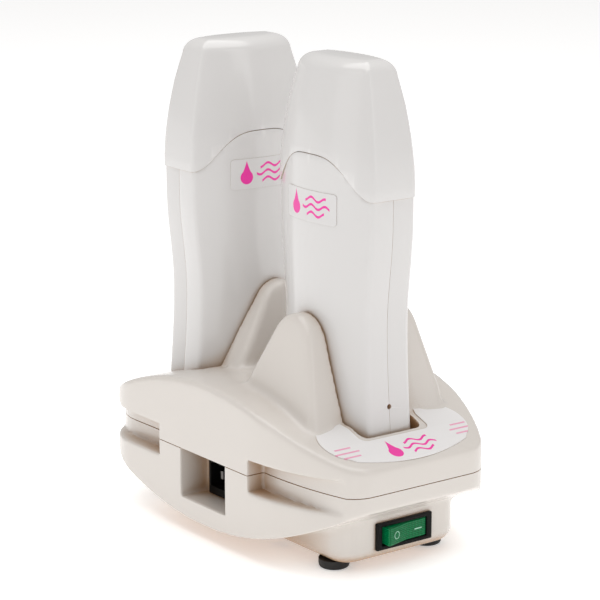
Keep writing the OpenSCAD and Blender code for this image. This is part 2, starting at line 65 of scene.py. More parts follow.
world = bpy.data.worlds.new("studio")
scene.world = world
world.use_nodes = True
world.node_tree.nodes["Background"].inputs["Color"].default_value = (1.0, 0.985, 0.97, 1)
world.node_tree.nodes["Background"].inputs["Strength"].default_value = 0.5

for panel, place, turn, size, power in (
        ("overhead", (0.0, 0.1, 1.5), (0, 0, 0), (1.6, 1.6), 14),
        ("left_panel", (-1.1, 0.25, 0.55), (90, 0, -100), (0.5, 1.2), 0.8),
        ("front_panel", (0.45, -1.25, 0.7), (72, 0, 20), (0.45, 1.2), 1.4)):
    light = bpy.data.lights.new(panel, "AREA")
    light.shape = "RECTANGLE"
    light.size, light.size_y = size
    light.energy = power
    lamp = bpy.data.objects.new(panel, light)
    lamp.location = place
    lamp.rotation_euler = [math.radians(angle) for angle in turn]
    scene.collection.objects.link(lamp)

bpy.ops.object.select_all(action="DESELECT")
bpy.ops.mesh.primitive_plane_add(size=60)
floor = bpy.context.object
floor.name = "floor"
paper = bpy.data.materials.new("paper_sweep")
paper.use_nodes = True
nodes, links = paper.node_tree.nodes, paper.node_tree.links
sheet = nodes["Principled BSDF"]
sheet.inputs["Roughness"].default_value = 0.85
sheet.inputs["Emission Strength"].default_value = 0.38
fibre = nodes.new("ShaderNodeTexNoise")
fibre.inputs["Scale"].default_value = 60
fibre_tint = nodes.new("ShaderNodeMix")
fibre_tint.data_type = "RGBA"
fibre_tint.inputs["A"].default_value = (1.0, 1.0, 1.0, 1)
fibre_tint.inputs["B"].default_value = (0.985, 0.985, 0.985, 1)
links.new(fibre.outputs["Fac"], fibre_tint.inputs["Factor"])
links.new(fibre_tint.outputs["Result"], sheet.inputs["Base Color"])
links.new(fibre_tint.outputs["Result"], sheet.inputs["Emission Color"])
floor.data.materials.append(paper)


# ---------- dock, upper shell ----------
# The arched hump of the dock: one glossy ABS moulding with a soft shoulder all round and two wells
# for the heaters. Two cradle fins rise from the front well and one from the rear well. Its foot
# meets the lower shell in a fine joint line, and four finger grips are sunk into its sides.
mm = 0.001
dock_low, dock_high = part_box("base_top_shell")
half_w, half_l = dock_high.x / mm, -dock_low.y / mm
seam_z = 42.0
arch_z, arch_r, lobe_y = 78.0, 180.0, -60.0
grip_z0, grip_z1, grip_y = 34.0, 50.0, 37.2
heater_half_l, heater_half_t = 35.9, 22.6
crown_r, crown_c = 69.44, 46.84
stations = {"front": (-38.6, 0.0), "rear": (49.4, 90.0)}
rear_fin_shift = 6.0
fin_top, fin_round = 116.5, 15.0
fin_leans = {"front": (29.0, 19.0), "rear": (33.0, 25.0)}


def arc(cx, cy, r, a0, a1, steps):
    """Points along an arc, between two angles in degrees."""
    angles = [math.radians(a0 + (a1 - a0) * i / steps) for i in range(steps + 1)]
    return [(cx + r * math.cos(a), cy + r * math.sin(a)) for a in angles]


def both_sides(right):
    """Closes an outline with the mirror image of its right half, and drops repeated points."""
    points = right + [(-x, y) for x, y in reversed(right)]
    return [p for p, q in zip(points, points[1:] + points[:1]) if math.dist(p, q) > 0.01]


def dock_outline(inset=0.0):
    """Plan of the dock: square-ish at the back, swept in by a long curve to the front corners."""
    side_cx, side_r, corner_r, back_r = half_w - 100, 100, 15, 33
    rise = half_l - corner_r - 37
    corner_cx = side_cx + math.sqrt((side_r - corner_r) ** 2 - rise ** 2)
    turn = math.degrees(math.asin(rise / (side_r - corner_r)))
    return both_sides(
        arc(corner_cx, corner_r - half_l, corner_r - inset, -90, -turn, 12)
        + arc(side_cx, -37, side_r - inset, -turn, 0, 16)
        + arc(half_w - back_r, half_l - back_r, back_r - inset, 0, 90, 20))


def grip_wall_outline(inset=0.0):
    """Plan of the wall behind the finger grips."""
    sweep = math.degrees(math.asin((half_l + 5 - 42) / 185))
    return both_sides(
        arc(47.5 - 185, -42, 185 - inset, -sweep, 0, 16)
        + arc(48.5 - 30, half_l + 5 - 30, 30 - inset, 0, 90, 16))


def well_outline(gap):
    """Plan of a heater's socket: it follows the crowned faces and is squared out at its ends."""
    end_x, end_y, end_r = 17.0 + gap, heater_half_l + gap, 4.0
    crown = crown_r + gap
    meet = math.degrees(math.asin(math.sqrt(crown ** 2 - (crown_c + end_x) ** 2) / crown))
    side = arc(-crown_c, 0, crown, -meet, meet, 28) + arc(end_x - end_r, end_y - end_r, end_r, 0, 90, 6)
    return both_sides(arc(end_x - end_r, end_r - end_y, end_r, -90, 0, 6) + side)


def pick(piece):
    """Leaves one piece selected and active."""
    bpy.ops.object.select_all(action="DESELECT")
    bpy.context.view_layer.objects.active = piece
    piece.select_set(True)


def face_out(piece):
    """Turns every face's normal outwards."""
    pick(piece)
    bpy.ops.object.mode_set(mode="EDIT")
    bpy.ops.mesh.select_all(action="SELECT")
    bpy.ops.mesh.normals_make_consistent(inside=False)
    bpy.ops.object.mode_set(mode="OBJECT")


def plate(name, outline, z0, z1):
    """A flat outline in millimetres, raised into a solid between two heights."""
    bpy.ops.object.select_all(action="DESELECT")
    bpy.ops.mesh.primitive_circle_add(vertices=len(outline), fill_type="NGON")
    made = bpy.context.object
    made.name = made.data.name = name
    for vertex, (x, y) in zip(made.data.vertices, outline):
        vertex.co = (x * mm, y * mm, z0 * mm)
    bpy.ops.object.mode_set(mode="EDIT")
    bpy.ops.mesh.select_all(action="SELECT")
    bpy.ops.mesh.extrude_region_move(TRANSFORM_OT_translate={"value": (0, 0, (z1 - z0) * mm)})
    bpy.ops.object.mode_set(mode="OBJECT")
    face_out(made)
    return made


def across(name, profile, x0=-100, x1=100):
    """A side outline of (y, z) points, raised into a solid that lies across the dock."""
    made = plate(name, profile, x0, x1)
    for vertex in made.data.vertices:
        vertex.co = (vertex.co.z, vertex.co.x, vertex.co.y)
    return made


def combine(target, tool, operation):
    """Adds, cuts or keeps with a tool solid, then takes the tool away."""
    pick(target)
    joining = target.modifiers.new("join", "BOOLEAN")
    joining.operation, joining.object, joining.solver = operation, tool, "EXACT"
    bpy.ops.object.modifier_apply(modifier=joining.name)
    bpy.data.objects.remove(tool)


def settle(piece):
    """Puts a placed piece's move, turn and scale into its mesh."""
    pick(piece)
    bpy.ops.object.transform_apply(location=True, rotation=True, scale=True)


def at_station(piece, station):
    """Moves and turns a piece made at the middle of the dock to one of the two heaters' places."""
    y, turn = stations[station]
    piece.location = (0, y * mm, 0)
    piece.rotation_euler = (0, 0, math.radians(turn))
    settle(piece)


def skin_over(piece, cell, rounds, softness):
    """Remeshes a joined solid evenly, then relaxes it by each point's softness to round its edges."""
    pick(piece)
    piece.data.remesh_voxel_size = cell * mm
    bpy.ops.object.voxel_remesh()
    spots = np.empty(len(piece.data.vertices) * 3)
    piece.data.vertices.foreach_get("co", spots)
    weights = np.clip(softness(*(spots.reshape(-1, 3).T / mm)), 0, 1)
    soft = piece.vertex_groups.new(name="soft")
    for level in range(1, 21):
        chosen = np.flatnonzero(np.round(weights * 20) == level)
        soft.add(chosen.tolist(), level / 20, "REPLACE")
    for group, turns, factor in (("soft", rounds, 0.5), ("", 2, 0.5)):
        relaxing = piece.modifiers.new("relax", "SMOOTH")
        relaxing.iterations, relaxing.factor, relaxing.vertex_group = turns, factor, group
        bpy.ops.object.modifier_apply(modifier=relaxing.name)
    piece.vertex_groups.clear()
    bpy.ops.object.shade_smooth_by_angle(angle=math.radians(50))


def trim_flat(piece, z, keep_above):
    """Cuts a solid off level and closes the cut."""
    pick(piece)
    bpy.ops.object.mode_set(mode="EDIT")
    bpy.ops.mesh.select_all(action="SELECT")
    bpy.ops.mesh.bisect(plane_co=(0, 0, z * mm), plane_no=(0, 0, 1), use_fill=True,
                        clear_inner=keep_above, clear_outer=not keep_above)
    bpy.ops.object.mode_set(mode="OBJECT")


def outline_distance(outline, x, y):
    """Distance from points to the nearest stretch of an outline."""
    nearest = np.full(x.shape, 1e9)
    for (ax, ay), (bx, by) in zip(outline, outline[1:] + outline[:1]):
        dx, dy = bx - ax, by - ay
        along = np.clip(((x - ax) * dx + (y - ay) * dy) / (dx * dx + dy * dy), 0, 1)
        nearest = np.minimum(nearest, np.hypot(x - ax - along * dx, y - ay - along * dy))
    return nearest


def arch_at(y):
    """Height of the hump: an arch that runs straight on over the front lobe."""
    bend = np.maximum(y, lobe_y)
    fall = lobe_y / math.sqrt(arch_r ** 2 - lobe_y ** 2)
    return arch_z - arch_r + np.sqrt(arch_r ** 2 - bend * bend) + (bend - y) * fall


def fin_half_width(z, lean):
    """Half the width of a fin's outer face at a height, on the side that leans by this angle."""
    return fin_round / np.cos(np.radians(lean)) + (fin_top - fin_round - z) * np.tan(np.radians(lean))


def fin_out_x(z):
    """How far out a fin's outer face stands at a height."""
    return 41.5 - (z - 62) * 0.19


def round_edges(piece, width, segments, chosen):
    """Bevels the edges whose two ends both pass a test on their place in millimetres."""
    pick(piece)
    for polygon in piece.data.polygons:
        polygon.select = False
    passed = [chosen(vertex.co / mm) for vertex in piece.data.vertices]
    for vertex in piece.data.vertices:
        vertex.select = False
    for edge in piece.data.edges:
        edge.select = passed[edge.vertices[0]] and passed[edge.vertices[1]]
    bpy.ops.object.mode_set(mode="EDIT")
    bpy.ops.mesh.select_mode(type="EDGE")
    bpy.ops.mesh.bevel(offset=width * mm, segments=segments, affect="EDGES")
    bpy.ops.object.mode_set(mode="OBJECT")


def cradle_fin(name, side, leans):
    """One fin: a round-topped wedge that leans in towards the heater, its outer edges rounded over."""
    ahead, behind = leans[::side]
    tip = arc(0, fin_top - fin_round, fin_round, ahead, 180 - behind, 16)
    profile = [(fin_half_width(46, ahead), 46)] + tip + [(-fin_half_width(46, behind), 46)]
    fin = across(name, profile, 12, 52)
    for vertex in fin.data.vertices:
        if vertex.co.x > 30 * mm:
            vertex.co.x = fin_out_x(vertex.co.z / mm) * mm
        else:
            vertex.co.y *= 0.8
    round_edges(fin, 3.4, 5, lambda spot: spot.x > 30)
    face_out(fin)
    fin.rotation_euler = (0, 0, 0 if side > 0 else math.pi)
    settle(fin)
    return fin


def grip_cutter(grow=0.0):
    """The four finger grips: everything outside the grip wall between their floor and ceiling."""
    beyond_dock = [(-90, -120), (90, -120), (90, 120), (-90, 120)]
    cutter = plate("grips", beyond_dock, grip_z0 - grow, grip_z1 + grow)
    combine(cutter, plate("grip_wall", grip_wall_outline(grow), 0, 100), "DIFFERENCE")
    middle = [(-95, grow - grip_y), (95, grow - grip_y), (95, grip_y - grow), (-95, grip_y - grow)]
    combine(cutter, plate("middle", middle, 0, 100), "DIFFERENCE")
    return cutter


rim = dock_outline()


def hump_softness(x, y, z):
    """Where the hump's skin relaxes most: along its shoulder, and where the fins grow out of it."""
    top = arch_at(y)
    depth = np.maximum(0, top - z)
    reach = np.where(y < -66, 3.0, 8.0)
    soft = 1 - np.maximum(0, np.maximum(outline_distance(rim, x, y), depth) - reach) / 4
    for station, (y0, turn) in stations.items():
        u, v = (x, y - y0) if turn == 0 else (y - y0, rear_fin_shift - x)
        level = np.maximum(z, top)
        lean = np.where(v > 0, *fin_leans[station])
        width = fin_half_width(level, lean) * (0.8 + 0.2 * (np.abs(u) - 12) / 30)
        beyond = np.maximum(np.abs(v) - width, np.abs(u) - fin_out_x(level))
        near = np.maximum(np.abs(z - top), np.abs(beyond))
        foot = 1 - np.maximum(0, near - 4) / 4
        foot[np.abs(u) < heater_half_t + 3.5] = 0
        soft = np.maximum(soft, foot)
    return soft


dock_top = plate("dock_upper_shell", rim, 38, 110)
crest = [(y, float(arch_at(y))) for y in range(-104, 105, 2)]
combine(dock_top, across("crest", [(-104, 30)] + crest + [(104, 30)]), "INTERSECT")
for station, side, shift in (("front", -1, 0), ("front", 1, 0), ("rear", -1, rear_fin_shift)):
    fin = cradle_fin("fin", side, fin_leans[station])
    fin.location = (0, -shift * mm, 0)
    settle(fin)
    at_station(fin, station)
    combine(dock_top, fin, "UNION")
for station in stations:
    well = plate("well", well_outline(0.6), 30, 140)
    at_station(well, station)
    combine(dock_top, well, "DIFFERENCE")
combine(dock_top, grip_cutter(), "DIFFERENCE")
skin_over(dock_top, 1.0, 45, hump_softness)
trim_flat(dock_top, seam_z + 0.2, True)
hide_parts("base_top_shell")
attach(dock_top, "base")


# Shared moulding finish: faint flow marks in the colour, a fine satin grain, hairline scratches
# that show in the gloss, edges a touch paler where hands rub them, and painted warm shade in recesses.
def moulding_group():
    """Builds the shared finish, which puts out a colour, a roughness and a normal."""
    group = bpy.data.node_groups.new("moulding_finish", "ShaderNodeTree")
    for label, kind, value in (
            ("Colour", "NodeSocketColor", (0.8, 0.8, 0.8, 1)),
            ("Painted Shade Colour", "NodeSocketColor", (0.6, 0.5, 0.4, 1)),
            ("Painted Shade", "NodeSocketFloat", 0.0),
            ("Gloss Roughness", "NodeSocketFloat", 0.2),
            ("Grain", "NodeSocketFloat", 0.1)):
        socket = group.interface.new_socket(label, in_out="INPUT", socket_type=kind)
        socket.default_value = value
    for label, kind in (("Colour", "NodeSocketColor"), ("Roughness", "NodeSocketFloat"),
                        ("Normal", "NodeSocketVector")):
        group.interface.new_socket(label, in_out="OUTPUT", socket_type=kind)
    nodes, links = group.nodes, group.links
    enter, leave = nodes.new("NodeGroupInput"), nodes.new("NodeGroupOutput")
    place = nodes.new("ShaderNodeTexCoord")
    flow = nodes.new("ShaderNodeTexNoise")
    flow.inputs["Scale"].default_value = 26
    flow.inputs["Detail"].default_value = 4
    links.new(place.outputs["Object"], flow.inputs["Vector"])
    flow_tint = nodes.new("ShaderNodeHueSaturation")
    flow_value = nodes.new("ShaderNodeMapRange")
    flow_value.inputs["To Min"].default_value = 0.975
    flow_value.inputs["To Max"].default_value = 1.015
    links.new(flow.outputs["Fac"], flow_value.inputs["Value"])
    links.new(flow_value.outputs["Result"], flow_tint.inputs["Value"])
    links.new(enter.outputs["Colour"], flow_tint.inputs["Color"])
    # Painted shade: the colour is pulled towards the shade colour as far as the shade amount reaches.
    painted_shade_mix = nodes.new("ShaderNodeMix")
    painted_shade_mix.data_type = "RGBA"
    links.new(enter.outputs["Painted Shade"], painted_shade_mix.inputs["Factor"])
    links.new(flow_tint.outputs["Color"], painted_shade_mix.inputs["A"])
    links.new(enter.outputs["Painted Shade Colour"], painted_shade_mix.inputs["B"])
    shape = nodes.new("ShaderNodeNewGeometry")
    rubbed = nodes.new("ShaderNodeMapRange")
    rubbed.inputs["From Min"].default_value = 0.54
    rubbed.inputs["From Max"].default_value = 0.72
    rubbed.inputs["To Min"].default_value = 1.0
    rubbed.inputs["To Max"].default_value = 1.09
    links.new(shape.outputs["Pointiness"], rubbed.inputs["Value"])
    edge = nodes.new("ShaderNodeHueSaturation")
    links.new(rubbed.outputs["Result"], edge.inputs["Value"])
    links.new(painted_shade_mix.outputs["Result"], edge.inputs["Color"])
    links.new(edge.outputs["Color"], leave.inputs["Colour"])
    hair = nodes.new("ShaderNodeTexNoise")
    hair.inputs["Scale"].default_value = 90
    hair.inputs["Detail"].default_value = 6
    hair.inputs["Distortion"].default_value = 1.5
    links.new(place.outputs["Object"], hair.inputs["Vector"])
    polish = nodes.new("ShaderNodeMapRange")
    polish.inputs["To Min"].default_value = -0.04
    polish.inputs["To Max"].default_value = 0.06
    links.new(hair.outputs["Fac"], polish.inputs["Value"])
    rough = nodes.new("ShaderNodeMath")
    links.new(enter.outputs["Gloss Roughness"], rough.inputs[0])
    links.new(polish.outputs["Result"], rough.inputs[1])
    links.new(rough.outputs["Value"], leave.inputs["Roughness"])
    grain = nodes.new("ShaderNodeTexNoise")
    grain.inputs["Scale"].default_value = 1400
    grain.inputs["Detail"].default_value = 2
    links.new(place.outputs["Object"], grain.inputs["Vector"])
    bump = nodes.new("ShaderNodeBump")
    bump.inputs["Distance"].default_value = 0.00004
    links.new(enter.outputs["Grain"], bump.inputs["Strength"])
    links.new(grain.outputs["Fac"], bump.inputs["Height"])
    links.new(bump.outputs["Normal"], leave.inputs["Normal"])
    return group


moulding = moulding_group()


def moulded(name, colour, painted_shade_colour, roughness, grain, coat=0.3, painted_shade_reach=0.012, scatter=0.0):
    """A moulded material: the shared finish feeds one shader, and shut-in places get painted warm shade.
    """
    material = bpy.data.materials.new(name)
    material.use_nodes = True
    nodes, links = material.node_tree.nodes, material.node_tree.links
    shader = nodes["Principled BSDF"]
    finish = nodes.new("ShaderNodeGroup")
    finish.node_tree = moulding
    finish.inputs["Colour"].default_value = (*colour, 1)
    finish.inputs["Painted Shade Colour"].default_value = (*painted_shade_colour, 1)
    finish.inputs["Gloss Roughness"].default_value = roughness
    finish.inputs["Grain"].default_value = grain
    # Painted shade: an occlusion test finds close surfaces in recesses and gaps and turns them into the
    # shade amount.
    painted_shade_ao = nodes.new("ShaderNodeAmbientOcclusion")
    painted_shade_ao.samples = 6
    painted_shade_ao.inputs["Distance"].default_value = painted_shade_reach
    depth = nodes.new("ShaderNodeMapRange")
    depth.inputs["From Min"].default_value = 0.66
    depth.inputs["From Max"].default_value = 0.28
    links.new(painted_shade_ao.outputs["AO"], depth.inputs["Value"])
    links.new(depth.outputs["Result"], finish.inputs["Painted Shade"])
    links.new(finish.outputs["Colour"], shader.inputs["Base Color"])
    links.new(finish.outputs["Roughness"], shader.inputs["Roughness"])
    links.new(finish.outputs["Normal"], shader.inputs["Normal"])
    shader.inputs["Coat Weight"].default_value = coat
    shader.inputs["Coat Roughness"].default_value = 0.06
    shader.inputs["Subsurface Weight"].default_value = scatter
    shader.inputs["Subsurface Radius"].default_value = (1.0, 0.7, 0.5)
    shader.inputs["Subsurface Scale"].default_value = 0.002
    return material


def dress(piece, material):
    """Gives a piece its one material."""
    piece.data.materials.clear()
    piece.data.materials.append(material)


ivory = moulded("ivory_abs", (0.72, 0.675, 0.63), (0.44, 0.26, 0.13), 0.22, 0.12, painted_shade_reach=0.02)
dress(dock_top, ivory)


# ---------- dock, lower shell ----------
# The boat-bottomed lower half: one moulding with a raised foot box under it, an opening in its
# left side for the mains lead and a slot for the switch. Its screws come up from beneath.
belly_z, belly_r = 7.5, 190.0
plinth_half_w, plinth_half_l, plinth_z = 36.0, 82.7, 4.0
window_half, window_z0, pocket_x = 18.7, 17.6, -41.5
screw_places = [(x, y) for x in (-30, 30) for y in (-28, 24)]
pin_y = 14.0


def rounded_bar(half_x, half_y, r, steps=8):
    """A rectangle about the middle, with rounded corners."""
    return both_sides(arc(half_x - r, r - half_y, r, -90, 0, steps)
                      + arc(half_x - r, half_y - r, r, 0, 90, steps))


def block(name, low, high):
    """A box between two corners in millimetres."""
    bpy.ops.object.select_all(action="DESELECT")
    bpy.ops.mesh.primitive_cube_add(size=1)
    made = bpy.context.object
    made.name = made.data.name = name
    made.location = [(a + b) / 2 * mm for a, b in zip(low, high)]
    made.scale = [(b - a) * mm for a, b in zip(low, high)]
    settle(made)
    return made


def peg(name, centre, radius, height, turn=(0, 0, 0)):
    """A short round bar standing on its lower end, or laid over by a turn in degrees about that end."""
    bpy.ops.object.select_all(action="DESELECT")
    bpy.ops.mesh.primitive_cylinder_add(
        vertices=48, radius=radius * mm, depth=height * mm, location=(0, 0, height / 2 * mm))
    made = bpy.context.object
    made.name = made.data.name = name
    settle(made)
    made.location = [value * mm for value in centre]
    made.rotation_euler = [math.radians(angle) for angle in turn]
    settle(made)
    return made


def lower_softness(x, y, z):
    """The grips' lower lips and the joint of the foot box with the belly are rounded most."""
    lip = 1 - np.maximum(0, np.maximum(np.abs(z - grip_z0), outline_distance(rim, x, y)) - 2.5) / 2
    lip[np.abs(y) < grip_y + 1] = 0
    belly = belly_z + belly_r - np.sqrt(belly_r ** 2 - y * y)
    wall = np.maximum(np.abs(x) - plinth_half_w, np.abs(y) - plinth_half_l)
    joint = 1 - np.maximum(0, np.maximum(np.abs(z - belly), np.abs(wall)) - 3) / 3
    return np.maximum(lip, joint)


dock_base = plate("dock_lower_shell", rim, 0, 46)
keel = [(y, belly_z + belly_r - math.sqrt(belly_r ** 2 - y * y)) for y in range(-104, 105, 2)]
combine(dock_base, across("keel", keel + [(104, 60), (-104, 60)]), "INTERSECT")
plinth = plate("plinth", rounded_bar(plinth_half_w, plinth_half_l, 12), plinth_z, 36)
round_edges(plinth, 7, 6, lambda spot: spot.z < plinth_z + 0.1)
combine(dock_base, plinth, "UNION")
pocket = block("pocket", (-70, -window_half, window_z0), (pocket_x, window_half, 60))
combine(dock_base, pocket, "DIFFERENCE")
combine(dock_base, grip_cutter(), "DIFFERENCE")
skin_over(dock_base, 1.0, 14, lower_softness)
trim_flat(dock_base, seam_z - 0.2, False)
switch_slot = block("switch_slot", (-15.2, -90, 10.4), (15.2, -60, 21.8))
combine(dock_base, switch_slot, "DIFFERENCE")
inlet_slot = block("inlet_slot", (-45, -13.8, window_z0 + 0.4), (-25, 13.8, seam_z + 3))
combine(dock_base, inlet_slot, "DIFFERENCE")
for x, y in screw_places:
    combine(dock_base, peg("bore", (x, y, 0), 3.4, 10), "DIFFERENCE")
bpy.ops.object.shade_smooth_by_angle(angle=math.radians(40))
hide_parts("base_bottom_shell")
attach(dock_base, "base")
dress(dock_base, ivory)

# The tongue that lines up the two shells: a thin upstand set back from the joint line, seen
# only as the warm shadow in the gap.
tongue = plate("joint_tongue", dock_outline(1.3), 40.5, 43.5)
combine(tongue, plate("tongue_core", dock_outline(4.5), 30, 60), "DIFFERENCE")
combine(tongue, grip_cutter(1.0), "DIFFERENCE")
combine(tongue, block("gap", (-70, -19.5, 30), (-30, 19.5, 60)), "DIFFERENCE")
grip_tongue = plate("grip_tongue", grip_wall_outline(1.3), 40.5, 43.5)
combine(grip_tongue, plate("grip_core", grip_wall_outline(4.5), 30, 60), "DIFFERENCE")
combine(grip_tongue, plate("dock_limit", dock_outline(1.3), 30, 60), "INTERSECT")
combine(tongue, grip_tongue, "UNION")
tan_shadow = moulded("joint_shadow_abs", (0.42, 0.27, 0.15), (0.2, 0.12, 0.06), 0.5, 0.2, coat=0.0)
dress(tongue, tan_shadow)
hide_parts("base_bottom_shell")
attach(tongue, "base")

# The floors of the two wells, moulded with the upper shell: a shallow tray with two holes that
# the sprung contact pins look through.
for station in stations:
    tray = plate(station + "_well_floor", well_outline(2.4), 37.2, seam_z + 0.2)
    combine(tray, plate("hollow", well_outline(0.6), 39.7, 60), "DIFFERENCE")
    for y in (-pin_y, pin_y):
        combine(tray, peg("pin_hole", (0, y, 30), 2.5, 20), "DIFFERENCE")
    at_station(tray, station)
    bpy.ops.object.shade_smooth_by_angle(angle=math.radians(30))
    dress(tray, ivory)
    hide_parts("base_top_shell")
    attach(tray, "base")


# ---------- hand-held heaters ----------
# Two identical heaters, each a pair of glossy halves screwed together: crowned broad faces, narrow
# faces drawn in to a slight waist, and a neck that the cap pushes over. The rear one is turned a
# quarter round. The joint of the halves runs up the middle of both narrow faces.
skirt_low, skirt_rise = 172.5, 18.9
waist_z, waist_depth, cap_step = 112.0, 3.7, 0.9


def heater_section(inset=0.0, corner=3.8):
    """Plan of a heater: two crowned faces, two flat ends, and small rounds where they meet."""
    end = heater_half_l - inset
    crown = crown_r - inset
    r = max(corner - inset, 1.0)
    centre_y = end - r
    centre_x = math.sqrt((crown - r) ** 2 - centre_y ** 2) - crown_c
    reach = math.degrees(math.atan2(centre_y, centre_x + crown_c))
    side = arc(centre_x, -centre_y, r, -90, -reach, 5) + arc(-crown_c, 0, crown, -reach, reach, 40)
    return both_sides(side + arc(centre_x, centre_y, r, reach, 90, 5))


def tower(name, outline, levels):
    """An outline drawn up through levels of (height, x scale, y scale), each step an extrusion."""
    made = plate(name, outline, levels[0][0], levels[1][0])
    bpy.ops.object.mode_set(mode="EDIT")
    bpy.ops.mesh.select_all(action="DESELECT")
    bpy.ops.object.mode_set(mode="OBJECT")
    count = len(outline)
    corners = np.empty((len(made.data.vertices), 3))
    made.data.vertices.foreach_get("co", corners.ravel())
    plan = np.array(outline) * mm
    half_way = (levels[0][0] + levels[1][0]) / 2 * mm
    for (z, wide, deep), upper in zip(levels, (False, True)):
        for x, y in plan:
            away = np.hypot(corners[:, 0] - x, corners[:, 1] - y) + ((corners[:, 2] > half_way) != upper)
            made.data.vertices[int(np.argmin(away))].co = (x * wide, y * deep, z * mm)
    lid = max(made.data.polygons, key=lambda face: (len(face.vertices) == count) * (1 + face.center.z))
    lid.select = True
    bpy.ops.object.mode_set(mode="EDIT")
    bpy.ops.mesh.select_mode(type="FACE")
    for (z0, sx0, sy0), (z1, sx1, sy1) in zip(levels[1:], levels[2:]):
        bpy.ops.mesh.extrude_region_move(TRANSFORM_OT_translate={"value": (0, 0, (z1 - z0) * mm)})
        bpy.ops.transform.resize(value=(sx1 / sx0, sy1 / sy0, 1), center_override=(0, 0, z1 * mm))
    bpy.ops.object.mode_set(mode="OBJECT")
    face_out(made)
    return made


def cap_levels(inset=0.0, z0=150.0, z1=235.6):
    """The cap's taper: almost upright at the skirt, drawn in towards a flat top with round edges."""
    steps = [(z0, 0.0), (178, 0.0), (187, 0.5), (194, 1.3), (201, 2.3), (208, 3.6), (215, 5.1), (222, 7.1)]
    steps += [(z1 - 8.5 + 8.5 * math.sin(math.radians(a)), 8.8 + 8.5 - 8.5 * math.cos(math.radians(a)))
              for a in (6, 18, 30, 42, 54, 66, 78, 90)]
    levels = []
    for z, draw in steps:
        shift = inset if z > 224 else 0.0
        thin = draw * (0.78 + 0.2 * max(0, draw - 8) / 9)
        levels.append((z - shift, 1 - (thin + inset) / heater_half_t, 1 - (draw + inset) / heater_half_l))
    return [level for level in levels if level[0] < z1 - inset + 0.01]


def skirt_profile(gap=0.0):
    """Side outline of the heater's body under the cap: level at the ends, rising to a crest."""
    crest = []
    for y in range(-41, 42):
        along = min(1.0, abs(y) / 36) ** 1.65
        crest.append((y, skirt_low + gap + skirt_rise * (0.5 + 0.5 * math.cos(math.pi * along))))
    return crest + [(41, 20), (-41, 20)]


def end_line(z):
    """How far the body's narrow face stands from its middle: stepped in under the cap and waisted."""
    spread = 50.0 if z > waist_z else 72.0
    waist = 0.5 + 0.5 * math.cos(math.pi * min(1.0, abs(z - waist_z) / spread))
    return heater_half_l - cap_step * min(1.0, (z - 42) / 20) - waist_depth * waist


pearl = moulded("pearl_abs", (0.74, 0.725, 0.715), (0.56, 0.40, 0.26), 0.18, 0.06, coat=0.45)


def soften(piece, width, segments=3, angle=35):
    """Rounds every sharp edge of a piece by a small bevel."""
    pick(piece)
    rounding = piece.modifiers.new("rounding", "BEVEL")
    rounding.width, rounding.segments = width * mm, segments
    rounding.limit_method, rounding.angle_limit = "ANGLE", math.radians(angle)
    bpy.ops.object.modifier_apply(modifier=rounding.name)
    bpy.ops.object.shade_smooth_by_angle(angle=math.radians(40))


def heater_form():
    """A whole heater before it is split: waisted outside, neck and the space for its works."""
    foot = [(40, 0.93, 0.955), (40.6, 0.97, 0.98), (41.8, 0.993, 0.995)]
    waisted = [(z, 1, end_line(z) / (heater_half_l - 0.4)) for z in range(44, 193, 4)]
    form = tower("heater", heater_section(0.4), foot + waisted)
    combine(form, across("under_skirt", skirt_profile()), "INTERSECT")
    neck = tower("neck", heater_section(2.5), [(155, 1, 1), (186, 1, 1), (196, 0.965, 0.965)])
    combine(form, neck, "UNION")
    hollow = plate("hollow", heater_section(4.3), 43, 210)
    combine(hollow, block("hollow_limit", (-40, -29.4, 0), (40, 29.4, 300)), "INTERSECT")
    combine(form, hollow, "DIFFERENCE")
    for y in (-pin_y, pin_y):
        combine(form, peg("pad_hole", (0, y, 35), 4.1, 12), "DIFFERENCE")
    for y in (-22, 22):
        combine(form, peg("screw_hole", (12, y, 50), 3.1, 20, (0, 90, 0)), "DIFFERENCE")
    combine(form, peg("lamp_hole", (0, -40, 74), 1.25, 14, (-90, 0, 0)), "DIFFERENCE")
    return form


form = heater_form()
for station in stations:
    for name, keep in (("left", -1), ("right", 1)):
        half = form.copy()
        half.data = form.data.copy()
        scene.collection.objects.link(half)
        half.name = half.data.name = station + "_heater_" + name + "_half"
        near, far = sorted((keep * 0.07, keep * 60))
        combine(half, block("limit", (near, -60, 0), (far, 60, 300)), "INTERSECT")
        soften(half, 0.18, 2, 50)
        at_station(half, station)
        bpy.ops.object.shade_smooth_by_angle(angle=math.radians(35))
        dress(half, pearl)
        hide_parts(station + "_shell_" + name)
        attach(half, station + "_heater")
bpy.data.objects.remove(form)


# ---------- caps ----------
# A cap for each heater: one thin glossy moulding that carries the heater's section upwards and
# draws it in to a flat top. Its skirt is cut to an arch over each broad face.
for station in stations:
    cap = tower(station + "_lift_off_cap", heater_section(), cap_levels())
    combine(cap, tower("cap_inside", heater_section(), cap_levels(2.1, 140)), "DIFFERENCE")
    combine(cap, across("skirt", skirt_profile(0.3)), "DIFFERENCE")
    soften(cap, 0.3, 2, 50)
    at_station(cap, station)
    bpy.ops.object.shade_smooth_by_angle(angle=math.radians(35))
    dress(cap, pearl)
    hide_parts(station + "_cap")
    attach(cap, station + "_cap")


# ---------- printed films ----------
# Self-adhesive films: a long one on the dock's front lobe and a small one high on each heater.
# They are pale vinyl printed in pink with a plain mark, a wax drop beside three waves.
def calculate(tree, operation, first, second=0.0):
    """Adds a Math node, fed by numbers or by sockets, and gives its result."""
    node = tree.nodes.new("ShaderNodeMath")
    node.operation = operation
    for socket, value in zip(node.inputs, (first, second)):
        if isinstance(value, (int, float)):
            socket.default_value = value
        else:
            tree.links.new(value, socket)
    return node.outputs["Value"]


